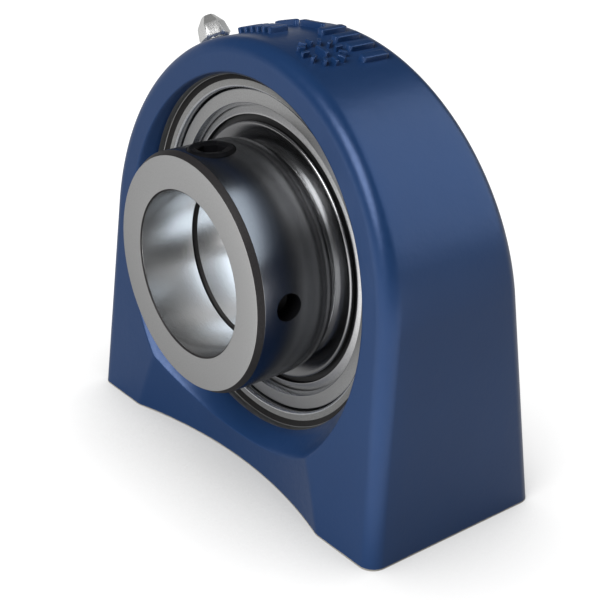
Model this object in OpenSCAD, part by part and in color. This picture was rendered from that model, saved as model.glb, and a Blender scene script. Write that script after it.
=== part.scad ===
// Pillow block bearing: a short cast housing bolted from below, with a self-aligning
// ball bearing insert and an eccentric locking collar for a 35 mm shaft.
// The origin is the centre of the bearing, on the shaft axis. The shaft runs along Y,
// the collar faces -Y, which is the front, and the base is below at -Z.

/* [Shaft and insert] */
// Bore for the shaft
bore_d = 35; // [34.9:0.05:35.1]
// Diameter of the spherical outside of the outer ring
insert_d = 72; // [71.8:0.1:72.2]
// Width of the outer ring
outer_ring_w = 19; // [18.6:0.1:19.4]
// Width of the inner ring, from its rear face to the end that the collar covers
inner_ring_w = 25.4; // [25:0.1:25.8]
// Diameter of the inner ring's shoulders
land_d = 46.1; // [45.8:0.1:46.4]
// Diameter of one ball
ball_d = 11.112; // [11.05:0.01:11.15]
// Diameter of the circle through the ball centres
pitch_d = 53.5; // [53.2:0.1:53.8]
// Number of balls
ball_count = 9; // [9]

/* [Housing] */
// Height of the shaft axis above the base
shaft_height = 47.6; // [47:0.1:49]
// Length of the base along X
base_length = 103; // [102:0.5:106]
// Width of the base along Y
base_width = 45; // [44.5:0.1:46]
// Width of the casting at its top
top_width = 25.6; // [25:0.1:28]
// Radius of the round top
arch_r = 49; // [48.6:0.1:50]
// Drop of the arch centre below the shaft axis
arch_drop = 3.2; // [2.8:0.1:3.4]
// Rounding of the casting's outer edges
casting_r = 3.4; // [2.8:0.1:4]
// Radius of the hollow between the feet, seen from above
waist_r = 118.6; // [110:1:130]
// Depth of that hollow at the base
waist_depth = 5.1; // [4.6:0.1:5.3]
// Distance between the two base holes
bolt_spacing = 82.6; // [81:0.1:84]
// Tapping drill of the base holes, for an M10 thread
tap_drill_d = 8.5; // [8.4:0.05:8.6]
// Depth of the full thread in the base
thread_depth = 20; // [16:1:22]

/* [Locking collar] */
// Distance from the bearing centre to the front face of the collar
collar_reach = 29.4; // [29:0.1:30]
// Outside diameter of the collar
collar_d = 51.1; // [50.5:0.1:51.6]
// Offset of the eccentric from the shaft axis
eccentric = 0.8; // [0.7:0.05:0.9]
// Turn of the collar's screw from straight up, towards -X
collar_turn = 0; // [0:1:10]
// Diameter of the blind hole for the pin spanner
spanner_hole_d = 5.8; // [5:0.1:6]

/* [Grease nipple] */
// Lean of the nipple from straight up, towards -X
nipple_angle = 35; // [32:1:38]
// Distance of the nipple from the middle of the housing, towards the front
nipple_front = 2; // [1.5:0.1:2.5]
// Height of the nipple above the casting
nipple_height = 7; // [6.8:0.1:7.5]

/* [Hidden] */

// Fineness of round parts
round_fn = 96;
fine_fn = 48;
eps = 0.01;
through = 60;

// Colours
paint = [0.16, 0.25, 0.44];
ground_steel = [0.74, 0.75, 0.76];
bright_steel = [0.85, 0.86, 0.88];
black_oxide = [0.2, 0.2, 0.21];
sheet_steel = [0.62, 0.64, 0.66];
rubber = [0.06, 0.06, 0.07];
polyamide = [0.78, 0.74, 0.62];
zinc = [0.83, 0.83, 0.8];

// Insert
sphere_r = insert_d / 2;
ring_face = outer_ring_w / 2;
rear_face = collar_reach - 38.9;
ring_end = rear_face + inner_ring_w;
bore_r = bore_d / 2;
land_r = land_d / 2;
pitch_r = pitch_d / 2;
ball_r = ball_d / 2;
ball_play = 0.014;
raceway_r = 0.513 * ball_d;
outer_raceway_r = pitch_r + ball_r + ball_play - raceway_r;
inner_raceway_r = pitch_r - ball_r - ball_play + raceway_r;
outer_shoulder_r = 30.35;
ring_chamfer = 0.3;
grease_hole_r = 0.75;
grease_hole_front = 5.9;
grease_hole_spacing = 120;

// Housing
seat_play = 0.03;
seat_r = sphere_r + seat_play;
seat_half_w = 7.8;
seat_mouth_r = 35.15;
seat_mouth = 10;
seat_face = 10.85;
seat_face_inner_r = 35.55;
seat_face_outer_r = 36.95;
seat_chamfer_r = 38.2;
seat_chamfer_end = 11.5;
cast_recess_r = 38.35;
cast_recess = 12.9;
recess_flare = 0.64;
arch_top = arch_r - arch_drop;
side_lean = atan((base_width - top_width) / 2 / (shaft_height + arch_top));
slot_w = outer_ring_w + 0.4;
grease_groove_r = 37.3;
grease_groove = [1, 6.8];
drill_r = 1.5;
tap_chamfer = 0.4;

// Collar
collar_rear = 9.7;
collar_face_r = 24.7;
collar_chamfer = 1.3;
bore_chamfer = 0.85;
bore_edge = 0.3;
cam_r = 21.2;
cam_play = 0.35;
cam_front_gap = 0.5;
cam_root = 9.3;
hole_front = 22.4;
screw_r = 5;
screw_play = 0.03;
screw_length = 8;
screw_tip = 0.3;
screw_edge = 0.6;
screw_socket = 5;
socket_depth = 4;
cup_r = 4.25;
spanner_depth = 4.5;
spanner_point = 1.6;

// Seals, as distances from the middle plane
seal_groove_r = 31.6;
seal_mouth_r = 31.2;
seal_mouth_flare = 0.5;
seal_groove = [7.15, 8.1];
plate_inner_r = 24.4;
plate_step_r = 29.3;
plate_rim_r = 31.15;
plate_t = 0.4;
plate_low = 6.95;
plate_rim = 7.75;
plate_high = 8.45;
lip_play = 0.04;
flinger_t = 0.5;
flinger_hub_r = 23.6;
flinger_r = 28;
flinger_low = 7.45;
flinger_high = 9;

// Cage
cage_inner_r = 25.1;
cage_outer_r = 28.7;
cage_front = 3.6;
cage_rear = 6.3;
pocket_play = 0.12;
cage_relief_r = 2.3;

// Nipple
nipple_thread_r = 3;
nipple_neck_r = 2.3;
nipple_neck = 1.3;
hex_foot_r = 2.7;
hex_foot = 0.9;
hex_r = 3.6;
hex_top_r = 3.1;
hex_top = 3.6;
nipple_tip_r = 1.45;
nipple_root = 39.8;
nipple_bore_r = 1.25;
orifice_r = 0.75;
nipple_ball_r = 1.05;
orifice_length = 0.7;
valve_cone = 0.5;
staked_r = 0.8;
staked_length = 0.6;
spring_wire_r = 0.16;
spring_coil_r = 0.85;
spring_turns = 8;
spring_steps = 14;

// A turned solid: x of the outline is the radius, y runs from the middle plane to the front
module turned(fn = round_fn) {
    rotate([90, 0, 0]) rotate_extrude($fn = fn) children();
}

// A child drawn on the front side, put on the front or on the rear side
module on_side(front) {
    if (front) children();
    else mirror([0, 1, 0]) children();
}

// Straight out from the shaft axis, leaning by angle towards -X, at a distance to the front
module radial(angle, front) {
    translate([0, -front, 0]) rotate([0, -angle, 0]) children();
}

// Height of the casting's surface above the shaft axis, along a line that leans by angle
function arch_at(angle) = -arch_drop * cos(angle)
    + sqrt(pow(arch_drop * cos(angle), 2) + pow(arch_r, 2) - pow(arch_drop, 2));

nipple_seat = arch_at(nipple_angle);
nipple_tip = nipple_seat + nipple_height;
valve_top = nipple_tip - orifice_length;
spring_foot = nipple_root + staked_length;

// Rounded rim of one side of the casting, leaning back as the side does
module casting_rim(front) {
    inset = casting_r / cos(side_lean);
    rim_out = base_width / 2 - inset;
    arch_out = rim_out - (shaft_height - arch_drop) * tan(side_lean);
    on_side(front) {
        translate([0, -arch_out, -arch_drop])
            rotate([90 - side_lean, 0, 0])
                rotate_extrude($fn = round_fn)
                    translate([arch_r - casting_r, 0]) circle(r = casting_r, $fn = 32);
        for (end = [-1, 1])
            translate([end * (base_length / 2 - casting_r), -rim_out, -shaft_height])
                sphere(r = casting_r, $fn = 32);
    }
}

// The casting before machining: a round-topped block that thickens towards its base
module casting() {
    difference() {
        hull() {
            casting_rim(true);
            casting_rim(false);
        }
        translate([-base_length, -base_width, -shaft_height - 2 * casting_r])
            cube([2 * base_length, 2 * base_width, 2 * casting_r]);
        for (front = [true, false])
            on_side(front)
                translate([0, waist_depth - base_width / 2 - waist_r, -shaft_height - 1])
                    cylinder(r = waist_r, h = shaft_height + 12, $fn = 192);
    }
}

// Opening of one side: the relieved edge of the seat, its faced rim with a chamfer outside,
// and the cast recess that flares out
module side_opening() {
    flare_out = base_width / 2 + 8;
    turned() polygon([
        [0, seat_half_w], [seat_mouth_r, seat_half_w], [seat_mouth_r, seat_mouth],
        [seat_face_inner_r, seat_face], [seat_face_outer_r, seat_face],
        [seat_chamfer_r, seat_chamfer_end], [cast_recess_r, cast_recess],
        [cast_recess_r + recess_flare * (flare_out - cast_recess), flare_out],
        [0, flare_out]]);
}

// Slots from the rear through which the insert goes in crosswise, before it is swung true
module loading_slots() {
    intersection() {
        rotate([-90, 0, 0]) cylinder(r = seat_r, h = base_width, $fn = round_fn);
        translate([-insert_d, 0, -slot_w / 2]) cube([2 * insert_d, base_width, slot_w]);
    }
}

// Groove round the seat that takes the grease from the nipple to the outer ring's holes
module seat_groove() {
    turned() translate([seat_r - 4, grease_groove[0]])
        square([grease_groove_r - seat_r + 4, grease_groove[1] - grease_groove[0]]);
}

// Drilled and tapped hole for the nipple
module nipple_hole() {
    radial(nipple_angle, nipple_front) {
        translate([0, 0, seat_r - 2]) cylinder(r = drill_r, h = 6, $fn = fine_fn);
        translate([0, 0, nipple_root]) cylinder(r = nipple_thread_r, h = 12, $fn = fine_fn);
    }
}

// One tapped hole in the base, with its mouth chamfer and its drill point
module base_hole() {
    tap_r = tap_drill_d / 2;
    translate([0, 0, -1]) cylinder(r = tap_r, h = thread_depth + 1, $fn = fine_fn);
    translate([0, 0, thread_depth - eps])
        cylinder(r1 = tap_r, r2 = 0, h = tap_r / tan(59), $fn = fine_fn);
    translate([0, 0, -eps])
        cylinder(r1 = tap_r + tap_chamfer, r2 = tap_r, h = tap_chamfer, $fn = fine_fn);
}

module housing() {
    color(paint) difference() {
        casting();
        sphere_on_shaft(seat_r);
        for (front = [true, false]) on_side(front) side_opening();
        loading_slots();
        seat_groove();
        nipple_hole();
        for (end = [-1, 1])
            translate([end * bolt_spacing / 2, 0, -shaft_height]) base_hole();
    }
}

// Seal seat of one side of the outer ring: a groove behind a narrower mouth that widens
module seal_seat() {
    mouth_end = ring_face + 1;
    turned() polygon([
        [0, seal_groove[0]], [seal_groove_r, seal_groove[0]],
        [seal_groove_r, seal_groove[1] - 0.25], [seal_mouth_r, seal_groove[1]],
        [seal_mouth_r + seal_mouth_flare * (mouth_end - seal_groove[1]), mouth_end],
        [0, mouth_end]]);
}

// A ball whose poles lie on the shaft axis
module sphere_on_shaft(r) {
    rotate([90, 0, 0]) sphere(r = r, $fn = round_fn);
}

// Outline of the outer ring before its raceway and seal seats, with broken corners
module outer_ring_outline() {
    corner_r = sqrt(pow(sphere_r, 2) - pow(ring_face, 2));
    side_r = corner_r - ring_chamfer;
    polygon([
        [outer_shoulder_r, -ring_face], [side_r, -ring_face],
        [side_r + 0.7 * ring_chamfer, 0.3 * ring_chamfer - ring_face],
        [side_r + ring_chamfer + 0.3, ring_chamfer - ring_face],
        [sphere_r + 1, ring_chamfer - ring_face], [sphere_r + 1, ring_face - ring_chamfer],
        [side_r + ring_chamfer + 0.3, ring_face - ring_chamfer],
        [side_r + 0.7 * ring_chamfer, ring_face - 0.3 * ring_chamfer],
        [side_r, ring_face], [outer_shoulder_r, ring_face]]);
}

module outer_ring() {
    color(ground_steel) difference() {
        intersection() {
            sphere_on_shaft(sphere_r);
            turned() outer_ring_outline();
        }
        turned() translate([outer_raceway_r, 0]) circle(r = raceway_r, $fn = fine_fn);
        for (front = [true, false]) on_side(front) seal_seat();
        for (turn = [0, grease_hole_spacing])
            radial(nipple_angle + turn, grease_hole_front)
                translate([0, 0, outer_shoulder_r - 2])
                    cylinder(r = grease_hole_r, h = 9, $fn = fine_fn);
    }
}

// The inner ring, with its raceway, and at the front the eccentric that the collar grips
module inner_ring() {
    color(bright_steel) difference() {
        union() {
            turned() polygon([
                [bore_r - 1, rear_face], [land_r - 0.5, rear_face],
                [land_r, rear_face + 0.5], [land_r, cam_root - 0.4],
                [land_r - 0.4, cam_root], [bore_r - 1, cam_root]]);
            translate([0, 0, eccentric]) turned() polygon([
                [0, cam_root - 1], [cam_r, cam_root - 1],
                [cam_r, ring_end - 0.6], [cam_r - 0.6, ring_end], [0, ring_end]]);
        }
        turned() translate([0, rear_face - 1])
            square([bore_r, inner_ring_w + 2]);
        turned() polygon([
            [0, rear_face - 1], [bore_r + bore_chamfer + 1, rear_face - 1],
            [bore_r, rear_face + bore_chamfer], [0, rear_face + bore_chamfer]]);
        turned() polygon([
            [0, ring_end + 1], [bore_r + bore_chamfer + 1, ring_end + 1],
            [bore_r, ring_end - bore_chamfer], [0, ring_end - bore_chamfer]]);
        turned() translate([inner_raceway_r, 0]) circle(r = raceway_r, $fn = fine_fn);
    }
}

// A snap cage: a ring behind the balls, with fingers that close round each of them
module cage() {
    step = 360 / ball_count;
    color(polyamide) difference() {
        turned() translate([cage_inner_r, -cage_rear])
            square([cage_outer_r - cage_inner_r, cage_rear + cage_front]);
        for (i = [0 : ball_count - 1]) {
            radial(i * step, 0) translate([0, 0, pitch_r])
                sphere(r = ball_r + pocket_play, $fn = fine_fn);
            radial((i + 0.5) * step, cage_front) translate([0, 0, cage_inner_r - 2])
                cylinder(r = cage_relief_r, h = 8, $fn = fine_fn);
        }
    }
}

module ball(i) {
    color(bright_steel) radial((i - 1) * 360 / ball_count, 0)
        translate([0, 0, pitch_r]) sphere(r = ball_r, $fn = fine_fn);
}

// Sheet-steel plate, snapped into the outer ring's groove: it rises inwards from its rim and
// steps in behind the flinger
module seal_plate(front) {
    edge_r = seal_groove_r - 0.05;
    step_out_r = plate_step_r + plate_t;
    color(sheet_steel) on_side(front) turned() polygon([
        [plate_inner_r, plate_low], [step_out_r, plate_low],
        [step_out_r, plate_high - 0.15 - plate_t], [plate_rim_r, plate_rim - plate_t],
        [edge_r, plate_rim - plate_t], [edge_r, plate_rim - 0.05], [plate_rim_r, plate_rim],
        [step_out_r, plate_high - 0.1], [plate_step_r + 0.15, plate_high],
        [plate_step_r, plate_high - 0.1], [plate_step_r, plate_low + plate_t],
        [plate_inner_r, plate_low + plate_t]]);
}

// Rubber lip, moulded on the inner edge of the plate and resting on the inner ring's shoulder
module seal_lip(front) {
    tip_r = land_r + lip_play;
    color(rubber) on_side(front) turned() polygon([
        [tip_r, plate_low - 0.35], [tip_r + 0.15, plate_low - 0.45],
        [plate_inner_r, plate_low - 0.1], [plate_inner_r + 1.2, plate_low - 0.3],
        [plate_inner_r + 1.2, plate_low], [plate_inner_r, plate_low],
        [plate_inner_r, plate_low + plate_t], [plate_inner_r - 0.35, plate_low + plate_t],
        [tip_r + 0.1, plate_low - 0.1]]);
}

// Dished washer, pressed on the inner ring's shoulder, whose rolled rim throws water off
module flinger(front) {
    color(sheet_steel) on_side(front) turned() polygon([
        [land_r, flinger_low], [flinger_hub_r, flinger_low],
        [flinger_r - 0.9, flinger_high - flinger_t], [flinger_r - flinger_t, flinger_high - 0.7],
        [flinger_r - flinger_t, flinger_low + 0.6], [flinger_r, flinger_low + 0.6],
        [flinger_r, flinger_high - 0.35], [flinger_r - 0.3, flinger_high - 0.05],
        [flinger_r - 0.7, flinger_high], [flinger_r - 1, flinger_high - 0.1],
        [flinger_hub_r, flinger_low + flinger_t], [land_r, flinger_low + flinger_t]]);
}

// Outline of the collar, with a plain chamfer in front and a large rounding behind
module collar_outline() {
    collar_r = collar_d / 2;
    round_start = 15.4;
    crease_r = 24.4;
    crease = 10.9;
    polygon(concat(
        [[0, collar_rear], [crease_r - 0.9, collar_rear], [crease_r - 0.15, crease - 0.2]],
        [for (a = [0 : 15 : 90])
            [crease_r + (collar_r - crease_r) * sin(a), round_start - (round_start - crease) * cos(a)]],
        [[collar_r, collar_reach - collar_chamfer], [collar_face_r, collar_reach],
         [0, collar_reach]]));
}

module locking_collar() {
    recess_front = ring_end + cam_front_gap;
    color(black_oxide) difference() {
        turned() collar_outline();
        turned() translate([0, collar_rear - 1]) square([bore_r, through]);
        turned() polygon([
            [0, collar_reach + 1], [bore_r + bore_edge + 1, collar_reach + 1],
            [bore_r, collar_reach - bore_edge], [0, collar_reach - bore_edge]]);
        translate([0, 0, eccentric]) turned() polygon([
            [0, collar_rear - 1], [cam_r + cam_play + 0.5, collar_rear - 1],
            [cam_r + cam_play, collar_rear + 0.5], [cam_r + cam_play, recess_front],
            [0, recess_front]]);
        radial(collar_turn, hole_front)
            cylinder(r = screw_r + screw_play, h = through, $fn = fine_fn);
        radial(collar_turn - 90, hole_front) {
            translate([0, 0, collar_d / 2 - spanner_depth])
                cylinder(r = spanner_hole_d / 2, h = through, $fn = fine_fn);
            translate([0, 0, collar_d / 2 - spanner_depth - spanner_point])
                cylinder(r1 = 0, r2 = spanner_hole_d / 2, h = spanner_point + eps, $fn = fine_fn);
        }
    }
}

// Grub screw with a hexagon socket and a cup point, its flat top just above the collar
module collar_screw() {
    seat = bore_r + screw_tip;
    color(black_oxide) radial(collar_turn, hole_front) difference() {
        translate([0, 0, seat]) union() {
            cylinder(r1 = screw_r - 0.9, r2 = screw_r, h = 0.9, $fn = fine_fn);
            translate([0, 0, 0.9])
                cylinder(r = screw_r, h = screw_length - 0.9 - screw_edge, $fn = fine_fn);
            translate([0, 0, screw_length - screw_edge])
                cylinder(r1 = screw_r, r2 = screw_r - screw_edge, h = screw_edge, $fn = fine_fn);
        }
        translate([0, 0, seat + screw_length - socket_depth])
            cylinder(r = screw_socket / sqrt(3), h = 5, $fn = 6);
        translate([0, 0, seat - 1]) cylinder(r1 = cup_r, r2 = cup_r - 3, h = 2, $fn = fine_fn);
    }
}

// Threaded stub, neck and tapered hexagon, bored for the ball valve
module nipple_body() {
    hex_low = nipple_seat + nipple_neck;
    color(zinc) radial(nipple_angle, nipple_front) difference() {
        union() {
            translate([0, 0, nipple_root])
                cylinder(r = nipple_thread_r, h = nipple_seat - 0.2 - nipple_root, $fn = fine_fn);
            translate([0, 0, nipple_root])
                cylinder(r = nipple_neck_r, h = hex_low + 0.5 - nipple_root, $fn = fine_fn);
            translate([0, 0, hex_low])
                cylinder(r1 = hex_foot_r, r2 = hex_r, h = hex_foot, $fn = 6);
            translate([0, 0, hex_low + hex_foot])
                cylinder(r1 = hex_r, r2 = hex_top_r, h = hex_top - hex_foot, $fn = 6);
            translate([0, 0, hex_low + hex_top])
                cylinder(r1 = hex_top_r, r2 = nipple_tip_r,
                    h = nipple_tip - hex_low - hex_top, $fn = 6);
        }
        translate([0, 0, spring_foot])
            cylinder(r = nipple_bore_r, h = valve_top - valve_cone - spring_foot, $fn = fine_fn);
        translate([0, 0, valve_top - valve_cone - eps])
            cylinder(r1 = nipple_bore_r, r2 = orifice_r, h = valve_cone + eps, $fn = fine_fn);
        translate([0, 0, valve_top - eps]) cylinder(r = orifice_r, h = 2, $fn = fine_fn);
        translate([0, 0, nipple_root - 1])
            cylinder(r = staked_r, h = staked_length + 1 + eps, $fn = fine_fn);
    }
}

// Height of the valve ball's centre, where it rests on the cone under the orifice
function valve_height() = let (half = atan((nipple_bore_r - orifice_r) / valve_cone))
    valve_top + orifice_r / tan(half) - nipple_ball_r / sin(half) - eps;

module nipple_ball() {
    color(bright_steel) radial(nipple_angle, nipple_front)
        translate([0, 0, valve_height()]) sphere(r = nipple_ball_r, $fn = fine_fn);
}

// Round spring wire: a tube swept along a helix between the ball and the shoulder below it
module nipple_spring() {
    sides = 8;
    bottom = spring_foot + spring_wire_r + eps;
    top = valve_height() - 0.9;
    count = spring_turns * spring_steps;
    function centre(i) = [spring_coil_r * cos(i * 360 / spring_steps),
        spring_coil_r * sin(i * 360 / spring_steps), bottom + (top - bottom) * i / count];
    points = [for (i = [0 : count]) let (a = i * 360 / spring_steps)
        for (s = [0 : sides - 1]) let (b = s * 360 / sides)
            centre(i) + spring_wire_r * [cos(a) * cos(b), sin(a) * cos(b), sin(b)]];
    faces = concat(
        [[for (s = [0 : sides - 1]) s]],
        [for (i = [0 : count - 1]) for (s = [0 : sides - 1]) let (n = (s + 1) % sides)
            [i * sides + s, (i + 1) * sides + s, (i + 1) * sides + n, i * sides + n]],
        [[for (s = [sides - 1 : -1 : 0]) count * sides + s]]);
    color(bright_steel) radial(nipple_angle, nipple_front) polyhedron(points, faces, convexity = 6);
}

housing();
outer_ring();
inner_ring();
cage();
for (i = [1 : ball_count]) ball(i);
seal_plate(true);  // front_seal_plate
seal_lip(true);  // front_seal_lip
flinger(true);  // front_flinger
seal_plate(false);  // rear_seal_plate
seal_lip(false);  // rear_seal_lip
flinger(false);  // rear_flinger
locking_collar();
collar_screw();
nipple_body();
nipple_ball();
nipple_spring();
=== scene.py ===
import bpy, bmesh, math
from mathutils import Matrix, Vector


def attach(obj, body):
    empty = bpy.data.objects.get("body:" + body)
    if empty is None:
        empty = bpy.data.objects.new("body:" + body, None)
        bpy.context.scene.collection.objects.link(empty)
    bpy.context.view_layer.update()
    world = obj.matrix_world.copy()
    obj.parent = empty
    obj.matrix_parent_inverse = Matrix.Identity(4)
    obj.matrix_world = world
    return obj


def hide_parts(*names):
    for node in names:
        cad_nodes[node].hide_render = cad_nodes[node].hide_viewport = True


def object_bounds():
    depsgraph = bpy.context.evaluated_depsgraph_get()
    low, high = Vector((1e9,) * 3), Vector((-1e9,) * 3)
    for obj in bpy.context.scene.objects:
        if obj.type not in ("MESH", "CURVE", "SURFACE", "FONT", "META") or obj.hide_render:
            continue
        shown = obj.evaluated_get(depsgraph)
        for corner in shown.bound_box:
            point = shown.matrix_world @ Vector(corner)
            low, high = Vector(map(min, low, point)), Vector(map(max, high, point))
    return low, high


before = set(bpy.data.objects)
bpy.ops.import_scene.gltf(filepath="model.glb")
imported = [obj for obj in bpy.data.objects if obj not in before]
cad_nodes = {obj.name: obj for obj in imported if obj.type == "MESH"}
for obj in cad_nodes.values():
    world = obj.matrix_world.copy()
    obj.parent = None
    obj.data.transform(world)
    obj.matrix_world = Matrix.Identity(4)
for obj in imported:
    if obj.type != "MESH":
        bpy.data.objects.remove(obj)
cad_box = [list(corner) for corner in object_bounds()]

# Camera. It looks down on the block from the right of its front, far enough away that
# the base stays nearly parallel, as in a catalogue picture.
camera_data = bpy.data.cameras.new("camera")
camera_data.lens = 79.80
camera_data.sensor_width = 36
camera_data.clip_start = 0.01
camera = bpy.data.objects.new("camera", camera_data)
bpy.context.scene.collection.objects.link(camera)
camera_place = (0.211266, -0.162723, 0.107897)
turn, tilt = math.radians(52.412), math.radians(24.535)
backward = Vector((math.sin(turn) * math.cos(tilt), -math.cos(turn) * math.cos(tilt), math.sin(tilt)))
rightward = Vector((math.cos(turn), math.sin(turn), 0))
upward = backward.cross(rightward)
stance = Matrix((rightward, upward, backward)).transposed().to_4x4()
camera.matrix_world = Matrix.Translation(camera_place) @ stance
bpy.context.scene.camera = camera


# Studio. A key lamp stands in front, and a wide bluish lamp behind the right of the block
# gives a sheen to what is glossy but lights nothing else. The steel mirrors a sky that is
# bright up to a low edge and dark above it, and the camera sees plain white.
def node(tree, kind, inputs=None, **settings):
    """Adds a node to a tree; an input is a plain value, or the socket that feeds it."""
    made = tree.nodes.new(kind)
    for name, value in settings.items():
        setattr(made, name, value)
    for socket, value in (inputs or {}).items():
        if isinstance(value, bpy.types.NodeSocket):
            tree.links.new(value, made.inputs[socket])
        else:
            made.inputs[socket].default_value = value
    return made


def calculated(tree, operation, *values):
    return node(tree, "ShaderNodeMath", dict(enumerate(values)), operation=operation).outputs[0]


def graded(tree, value, start, end, low, high, **settings):
    """Gives low where the value is at start or before, and high where it is at end or past it."""
    return node(tree, "ShaderNodeMapRange", {"Value": value, "From Min": start, "From Max": end,
                                             "To Min": low, "To Max": high}, **settings).outputs[0]


def seen_by_camera(tree):
    return node(tree, "ShaderNodeLightPath").outputs["Is Camera Ray"]


def seen_at_all(tree):
    """One where the camera sees it, itself or in something glossy or clear, and else zero."""
    path = node(tree, "ShaderNodeLightPath").outputs
    seen = path["Is Camera Ray"]
    for ray in ("Is Glossy Ray", "Is Transmission Ray"):
        seen = calculated(tree, "MAXIMUM", seen, path[ray])
    return seen


def lamp(name, towards, strength, width, colour=(1, 1, 1)):
    """A lamp of the given width, far off towards (direction, height), all in degrees."""
    data = bpy.data.lights.new(name, "SUN")
    data.energy, data.angle, data.color = strength, math.radians(width), colour
    made = bpy.data.objects.new(name, data)
    bpy.context.scene.collection.objects.link(made)
    angle, height = (math.radians(value) for value in towards)
    out = Vector((math.cos(angle) * math.cos(height), math.sin(angle) * math.cos(height), math.sin(height)))
    made.rotation_euler = out.to_track_quat("Z", "Y").to_euler()
    return made


lamp("lamp_behind_right", (55, 38), 2.1, 64, (0.80, 0.90, 1)).visible_diffuse = False
lamp("lamp_front", (-76, 40), 2.85, 40)

sky_bright, sky_dark, sky_fill, backdrop = 0.55, 0.06, 0.15, 1.1
sky_edge_start, sky_edge_end = 0.1, 0.4
world = bpy.data.worlds.new("studio")
bpy.context.scene.world = world
world.use_nodes = True
tree = world.node_tree
towards_sky = node(tree, "ShaderNodeTexCoord").outputs["Generated"]
sky_height = node(tree, "ShaderNodeSeparateXYZ", {0: towards_sky}).outputs["Z"]
sky = graded(tree, sky_height, sky_edge_start, sky_edge_end, sky_bright, sky_dark,
             interpolation_type="SMOOTHSTEP")
sky = graded(tree, seen_at_all(tree), 0, 1, sky_fill, sky)
sky = graded(tree, seen_by_camera(tree), 0, 1, sky, backdrop)
tree.links.new(sky, tree.nodes["Background"].inputs["Strength"])
tree.nodes["Background"].inputs["Color"].default_value = (1, 1, 1, 1)

# The floor glows white to the camera, with a soft shade where the block shuts out the sky.
# In mirrors it grades from grey on the left to white on the right, with a brighter card in
# front on the right, which draws the highlights along the rounded edges.
floor_reach, floor_gap = 6, 0.00002
grey_unseen, grey_seen = 0.15, 0.25
shade_reach, shade_full, shade_level, white_level = 0.045, 0.35, 0.34, 0.99
mirror_left, mirror_right, mirror_grey, mirror_white = -0.03, 0.05, 0.38, 0.8
mirror_shade_full, mirror_shade_level = 0.4, 0.1
card_towards, card_start, card_end, card_glow = (0.6, -0.8, 0.0), 0.05, 0.09, 1.3
floor_height = cad_box[0][2] - floor_gap
floor_corners = [(x * floor_reach, y * floor_reach, floor_height)
                 for x, y in ((-1, -1), (1, -1), (1, 1), (-1, 1))]
floor_mesh = bpy.data.meshes.new("floor")
floor_mesh.from_pydata(floor_corners, [], [(0, 1, 2, 3)])
floor = bpy.data.objects.new("floor", floor_mesh)
bpy.context.scene.collection.objects.link(floor)
floor_finish = bpy.data.materials.new("floor")
floor_finish.use_nodes = True
tree = floor_finish.node_tree
tree.nodes.remove(tree.nodes["Principled BSDF"])
seen = seen_at_all(tree)
matt = node(tree, "ShaderNodeBsdfDiffuse", {"Color": graded(tree, seen, 0, 1, grey_unseen, grey_seen)})
open_sky = node(tree, "ShaderNodeAmbientOcclusion", {"Distance": shade_reach}, samples=8).outputs["AO"]
white_with_shade = graded(tree, open_sky, shade_full, 1, shade_level, white_level)
spot = node(tree, "ShaderNodeTexCoord").outputs["Object"]
across = node(tree, "ShaderNodeSeparateXYZ", {0: spot}).outputs["X"]
grey_to_white = graded(tree, across, mirror_left, mirror_right, mirror_grey, mirror_white)
mirrored_shade = graded(tree, open_sky, mirror_shade_full, 1, mirror_shade_level, 1)
along = node(tree, "ShaderNodeVectorMath", {0: spot, 1: card_towards}, operation="DOT_PRODUCT")
card = graded(tree, along.outputs["Value"], card_start, card_end, 0, card_glow,
              interpolation_type="SMOOTHSTEP")
mirrored = calculated(tree, "MULTIPLY_ADD", grey_to_white, mirrored_shade, card)
level = graded(tree, seen_by_camera(tree), 0, 1, mirrored, white_with_shade)
glow = node(tree, "ShaderNodeEmission", {"Strength": calculated(tree, "MULTIPLY", level, seen)})
both = node(tree, "ShaderNodeAddShader", {0: matt.outputs[0], 1: glow.outputs[0]})
tree.links.new(both.outputs[0], tree.nodes["Material Output"].inputs["Surface"])
floor_mesh.materials.append(floor_finish)
bpy.context.scene.view_settings.view_transform = "Standard"


# Housing. One grey iron casting with a round top and two feet, painted blue. The seat, its
# faces and the base are machined bare, and the hollow between the feet saves metal.
MM = 0.001


def new_finish(name, base, roughness, metallic):
    """A new material, with its tree, its surface and the place on the piece that patterns read."""
    finish = bpy.data.materials.new(name)
    finish.use_nodes = True
    tree = finish.node_tree
    surface = tree.nodes["Principled BSDF"]
    surface.inputs["Base Color"].default_value = (*base, 1)
    surface.inputs["Roughness"].default_value = roughness
    surface.inputs["Metallic"].default_value = metallic
    return finish, tree, surface, node(tree, "ShaderNodeTexCoord").outputs["Object"]


def grain_of(tree, place, scale, detail=2.0):
    noise = node(tree, "ShaderNodeTexNoise", {"Vector": place, "Scale": scale, "Detail": detail})
    return noise.outputs["Fac"]


def mottled(tree, place, size, low, high, detail=3.0):
    """A colour that drifts between two tones, in patches of the given size in metres."""
    drift = graded(tree, grain_of(tree, place, 1 / size, detail), 0.3, 0.7, 0, 1)
    return node(tree, "ShaderNodeMix", {0: drift, 6: (*low, 1), 7: (*high, 1)}, data_type="RGBA").outputs[2]


def rough_between(tree, surface, place, size, low, high):
    """Roughness that drifts between two values, in patches of the given size in metres."""
    drift = graded(tree, grain_of(tree, place, 1 / size), 0.3, 0.7, low, high)
    tree.links.new(drift, surface.inputs["Roughness"])


def relief(tree, surface, depth, *heights):
    """Bumps of the given depth in metres, shaped by the sum of the heights."""
    total = heights[0]
    for more in heights[1:]:
        total = calculated(tree, "ADD", total, more)
    bump = node(tree, "ShaderNodeBump", {"Height": total, "Distance": depth})
    tree.links.new(bump.outputs[0], surface.inputs["Normal"])


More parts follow.
